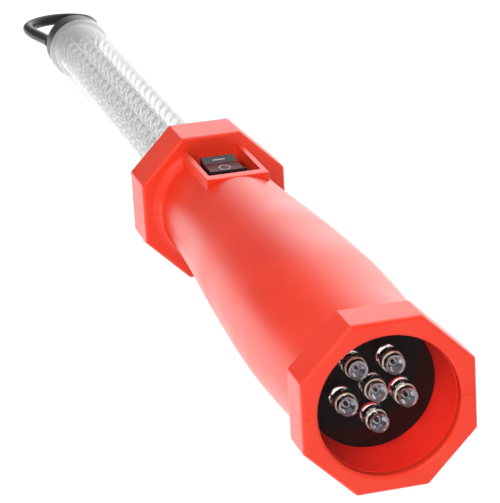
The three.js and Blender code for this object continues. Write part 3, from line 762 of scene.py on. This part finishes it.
def makeLightBoard():
    b = lightBoardSet
    x, top = b["halfWidth"], b["top"]
    bottom = top - b["thickness"]
    board = cuboid((-x, x), b["span"], (bottom, top), b["edge"], 2)
    placePiece(board, "ledBoard", whiteMask, "lamp", ["led_board"])
    solder = bmesh.new()
    for side, column in b["columns"].items():
        bodies, cups = bmesh.new(), bmesh.new()
        for row in range(b["rows"]):
            place = Matrix.Translation((column, b["first"] + row * b["pitch"], top + b["lift"]))
            addTo(bodies, boardLed(), place)
            addTo(cups, boardLedCup(), place)
            for lead in (-1, 1):
                offset = place.translation + Vector((0, lead * b["leadOffset"], 0))
                offset.z = bottom
                addTo(solder, rod(b["pad"], offset + Vector((0, 0, -b["padHeight"])), offset, 8))
        placePiece(bodies, "ledRow_" + side, ledResin, "lamp", ["led_strip_" + side], 50)
        placePiece(cups, "ledRowCups_" + side, cupMetal, "lamp", (), 50)
    placePiece(solder, "ledSolder", zincSteel, "lamp")


upright = Matrix.Rotation(math.pi / 2, 4, "X")


def boardLed():
    # a 5 mm lamp, standing on z = 0
    b = lightBoardSet
    radius, flange, height = b["ledRadius"], b["ledFlange"], b["ledTop"] - b["top"] - b["lift"]
    outline = [(0, 0), (flange, 0), (flange, b["flangeHeight"]), (radius, b["flangeHeight"])]
    outline += arc((0, height - radius), radius, 0, 90, 5)
    return addTo(bmesh.new(), lathe(outline, 16), upright)


def boardLedCup():
    b = lightBoardSet
    height, radius = b["cupHeight"], b["cupRadius"]
    bowl, foot = height - b["bowlDepth"], height - b["cupDepth"]
    cup = lathe([(0, bowl), (b["bowlFloor"], bowl), (radius - b["cupRim"], height), (radius, height),
                 (b["cupFoot"], foot), (0, foot)], 10)
    for side in (-1, 1):
        offset = side * b["leadOffset"]
        addTo(cup, rod(b["lead"], (0, b["leadLow"], offset),
                       (0, height - b["leadDrop"], offset * b["leadClose"]), 6))
    return addTo(bmesh.new(), cup, upright)


makeLightBoard()
print("light tube made")

endSet = {
    "plugFlange": (369.3, 370.9, 11.2), "plugDepth": 364.0, "spigot": 9.9,
    "capStart": 371.2, "capEnd": 381.0, "capRadius": 11.2, "capRound": 2.4,
    "stem": 3.2, "stemStart": 362.4, "stemBore": 3.4, "pivot": 383.8,
    "lugHalf": 6.1, "lugRadius": 2.7, "pin": 1.2, "pinHole": 1.35,
    "eyeHalf": (6.4, 9.8), "eyeRadius": 2.4, "strand": 2.1,
    "halfWidth": 12.4, "shoulder": 409.5, "end": 421.0, "legStart": 0.5, "legPull": (9, 10),
    "edge": 0.3, "eyeEdge": 0.35, "pinPlay": 0.2, "boreSpan": (300, 400), "crossReach": 30,
    "ledge": (5, 8), "ledgeSpan": (8, 1), "ledgeGap": 0.3, "ledgeThickness": 1.6, "ledgeEdge": 0.2,
    # the stem's groove and the clip in it, both measured back from the plug's depth
    "grooveDepth": 0.9, "groove": (1.2, 0.2), "clip": (1.1, 0.3), "clipInto": 0.7, "clipWidth": 1.6,
    "clipSlot": 1.4, "clipSlotSpan": (-8, 0), "lugInto": 1,
}


def makeEndPlug():
    e = endSet
    low, high, radius = e["plugFlange"]
    depth, spigot = e["plugDepth"], e["spigot"]
    edge = e["edge"]
    outline = [(0, depth)] + arc((spigot - edge, depth + edge), edge, 270, 360, 3)
    outline += [(spigot, low)] + arc((radius - edge, low + edge), edge, 270, 360, 3)
    outline += arc((radius - edge, high - edge), edge, 0, 90, 3) + [(0, high)]
    first, last = e["boreSpan"]
    steps = [("DIFFERENCE", rod(e["stemBore"], (0, first, 0), (0, last, 0), 48))]
    # two ledges under the LED board
    under = lightBoardSet["top"] - lightBoardSet["thickness"] - e["ledgeGap"]
    (near, far), (before, after) = e["ledge"], e["ledgeSpan"]
    for x in ((near, far), (-far, -near)):
        steps.append(("UNION", cuboid(x, (depth - before, depth + after),
                                      (under - e["ledgeThickness"], under), e["ledgeEdge"], 2)))
    placePiece(combine(lathe(outline, 64), steps), "endPlug", satinBlack, "lamp",
               ["end_plug"])


def makeSwivel():
    e = endSet
    start, end, radius, rounding = e["capStart"], e["capEnd"], e["capRadius"], e["capRound"]
    depth, stem, stemStart, edge = e["plugDepth"], e["stem"], e["stemStart"], e["edge"]
    waist = stem - e["grooveDepth"]
    low, high = (depth - back for back in e["groove"])
    outline = [(0, stemStart), (stem - edge, stemStart), (stem, stemStart + edge), (stem, low),
               (waist, low), (waist, high), (stem, high), (stem, start)]
    outline += arc((radius - edge, start + edge), edge, 270, 360, 3)
    outline += arc((radius - rounding, end - rounding), rounding, 0, 90, 8) + [(0, end)]
    half, lug, pivot, across = e["lugHalf"], e["lugRadius"], e["pivot"], e["crossReach"]
    steps = [("UNION", cuboid((-half, half), (end - e["lugInto"], pivot), (-lug, lug))),
             ("UNION", rod(lug, (-half, pivot, 0), (half, pivot, 0), 48)),
             ("DIFFERENCE", rod(e["pinHole"], (-across, pivot, 0), (across, pivot, 0), 32))]
    placePiece(combine(lathe(outline, 96), steps), "swivelCap", satinBlack, "swivel",
               ["swivel_cap"])
    inner, outer = stem - e["clipInto"], stem + e["clipWidth"]
    low, high = (depth - back for back in e["clip"])
    clip = lathe([(inner, low), (outer, low), (outer, high), (inner, high)], 48)
    slot = cuboid((-e["clipSlot"], e["clipSlot"]), e["boreSpan"], e["clipSlotSpan"])
    placePiece(combine(clip, [("DIFFERENCE", slot)]), "swivelClip", zincSteel, "swivel",
               ["swivel_clip"])
    reach = e["eyeHalf"][1]
    placePiece(rod(e["pin"], (-reach, pivot, 0), (reach, pivot, 0), 32, e["edge"]), "loopPin", zincSteel,
               "swivel", ["loop_pin"])


def makeLoop():
    e = endSet
    near, far = e["eyeHalf"]
    pivot, strand, half = e["pivot"], e["strand"], e["halfWidth"]
    x = near + strand
    low, high = e["legPull"]
    leg = interpolate_bezier((x, pivot + e["legStart"], 0), (x, pivot + low, 0),
                             (half, e["shoulder"] - high, 0), (half, e["shoulder"], 0), 14)
    bow = [Vector((half * math.cos(a), e["shoulder"] + (e["end"] - e["shoulder"]) * math.sin(a), 0))
           for a in (math.pi * i / 24 for i in range(1, 24))]
    back = [Vector((-p.x, p.y, 0)) for p in reversed(leg)]
    steps = []
    for side in (-1, 1):
        steps.append(("UNION", rod(e["eyeRadius"], (side * near, pivot, 0), (side * far, pivot, 0), 48,
                                   e["eyeEdge"])))
    across = e["crossReach"]
    steps.append(("DIFFERENCE", rod(e["pin"] + e["pinPlay"], (-across, pivot, 0), (across, pivot, 0), 32)))
    placePiece(combine(sweep(leg + bow + back, strand, 28), steps), "hangingLoop", satinBlack, "loop",
               ["hanging_loop"], 40)


makeEndPlug()
makeSwivel()
makeLoop()
print("loop end made")


def makeSocket():
    s = socketSet
    place, radius, lip = s["place"], s["radius"], s["lip"]
    back, edge = s["back"], s["edge"]
    x, y = s["blockHalf"]
    low, high = s["boreSpan"]
    body = rod(radius, (0, place, -lip), (0, place, back), 64, edge)
    steps = [("UNION", cuboid((-x, x), (place - y, place + y), (s["blockLow"], back), edge)),
             ("DIFFERENCE", rod(s["bore"], (0, place, low), (0, place, high), 48))]
    placePiece(combine(body, steps), "chargeSocket", switchBlack, "lamp",
               ["charge_socket"])
    low, high = s["pinSpan"]
    placePiece(rod(s["pin"], (0, place, low), (0, place, high), 24, s["pinEdge"]), "chargePin",
               zincSteel, "lamp")


makeSocket()

cellSet = {
    "radius": 7.25, "length": 50.5, "start": 56.0, "circle": 8.6, "button": 2.7, "buttonHeight": 1.4,
    # back from the cell's end: the groove's three steps, the shoulder and the flat top
    "groove": (4.2, 3.6, 3.0), "grooveDepth": 0.35, "shoulder": 1.8, "top": 1.3, "topRadius": 4.6,
    "footRound": 0.5, "shoulderRound": 0.6, "buttonEdge": 0.25,
}


def makeCells():
    c = cellSet
    radius, start = c["radius"], c["start"]
    end = start + c["length"]
    for i in range(3):
        angle = math.radians(90 + 120 * i)
        place = Matrix.Translation((c["circle"] * math.cos(angle), 0, c["circle"] * math.sin(angle)))
        foot, rounding, top = c["footRound"], c["shoulderRound"], end - c["top"]
        low, middle, high = (end - back for back in c["groove"])
        can = [(0, start)] + arc((radius - foot, start + foot), foot, 270, 360, 4)
        can += [(radius, low), (radius - c["grooveDepth"], middle), (radius, high)]
        can += arc((radius - rounding, end - c["shoulder"]), rounding, 0, 90, 4)
        can += [(c["topRadius"], top), (0, top)]
        sleeve = addTo(bmesh.new(), lathe(can, 48), place)
        placePiece(sleeve, "batteryCell_%d" % (i + 1), cellSleeve, "lamp",
                   ["battery_cell_%d" % (i + 1)])
        button = disc(c["button"], end - c["buttonHeight"], end, c["buttonEdge"], 32)
        button = addTo(bmesh.new(), button, place)
        placePiece(button, "cellButton_%d" % (i + 1), zincSteel, "lamp")


makeCells()

carriedFinishes = {
    "cell_plate_front": whiteMask, "cell_plate_rear": whiteMask, "charge_board": greenMask,
    "torch_lead": redCable, "tube_lead": redCable,
    "switch_terminal_1": tinBrass, "switch_terminal_2": tinBrass, "switch_terminal_3": tinBrass,
}
for node, finish in carriedFinishes.items():
    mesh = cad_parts[node].data
    for index in range(len(mesh.materials)):
        mesh.materials[index] = finish
print("inner pieces finished")

floorSet = {"half": 4.0, "colour": (0.34, 0.34, 0.34, 1), "glow": 0.86}
skySet = {
    "front": 0.1, "below": 1.5, "backLeft": 0.2, "backRight": 2.0,
    # where each change starts and ends, as parts of a view direction
    "sideSpan": (-0.15, 0.35), "riseSpan": (-0.12, 0.04), "depthSpan": (-0.4, 0.25),
}
fillSet = [
    # name, place, size, power; soft fills that leave no mirror image of themselves
    ("frontFill", (-0.5, -1.1, 0.72), 0.9, 18.0),
    ("leftFill", (-0.96, -0.12, 0.74), 0.8, 4.0),
]


def makeStage():
    bm = bmesh.new()
    bmesh.ops.create_grid(bm, x_segments=2, y_segments=2, size=floorSet["half"])
    floor = bpy.data.objects.new("floor", meshOf(bm))
    bpy.context.scene.collection.objects.link(floor)
    material, _ = newMaterial("paleFloor", {
        "Base Color": floorSet["colour"], "Roughness": 0.9, "Specular IOR Level": 0.0,
        "Emission Color": (1, 1, 1, 1), "Emission Strength": floorSet["glow"],
    })
    floor.data.materials.append(material)
    floor.visible_glossy = False


def skyRamp(nodes, limits, values):
    span = nodes.new("ShaderNodeMapRange")
    span.interpolation_type = "SMOOTHSTEP"
    for socket, value in zip(("From Min", "From Max", "To Min", "To Max"), (*limits, *values)):
        span.inputs[socket].default_value = value
    return span


def makeSky():
    # a white table and a bright wall behind on the right; dim on the viewer's side and the left
    world = bpy.data.worlds.new("studio")
    world.use_nodes = True
    nodes, links = world.node_tree.nodes, world.node_tree.links
    coords = nodes.new("ShaderNodeTexCoord")
    parts = nodes.new("ShaderNodeSeparateXYZ")
    side = skyRamp(nodes, skySet["sideSpan"], (skySet["backLeft"], skySet["backRight"]))
    rise = skyRamp(nodes, skySet["riseSpan"], (skySet["below"], 0))
    depth = skyRamp(nodes, skySet["depthSpan"], (skySet["front"], 1))
    both = nodes.new("ShaderNodeMath")
    both.operation = "MULTIPLY"
    links.new(coords.outputs["Generated"], parts.inputs["Vector"])
    links.new(parts.outputs["X"], side.inputs["Value"])
    links.new(parts.outputs["Z"], rise.inputs["Value"])
    links.new(side.outputs["Result"], rise.inputs["To Max"])
    links.new(parts.outputs["Y"], depth.inputs["Value"])
    links.new(depth.outputs["Result"], both.inputs[0])
    links.new(rise.outputs["Result"], both.inputs[1])
    links.new(both.outputs["Value"], nodes["Background"].inputs["Strength"])
    nodes["Background"].inputs["Color"].default_value = (1, 1, 1, 1)
    bpy.context.scene.world = world


def makeLights():
    middle = Vector((0, 0, axisHeight))
    for name, place, size, power in fillSet:
        data = bpy.data.lights.new(name, "AREA")
        data.shape = "SQUARE"
        data.size = size
        data.energy = power
        panel = bpy.data.objects.new(name, data)
        panel.location = place
        panel.rotation_mode = "QUATERNION"
        panel.rotation_quaternion = (middle - Vector(place)).to_track_quat("-Z", "Y")
        panel.visible_glossy = False
        panel.visible_camera = False
        bpy.context.scene.collection.objects.link(panel)


makeStage()
makeSky()
makeLights()
bpy.context.scene.view_settings.view_transform = "Standard"
print("stage lit")
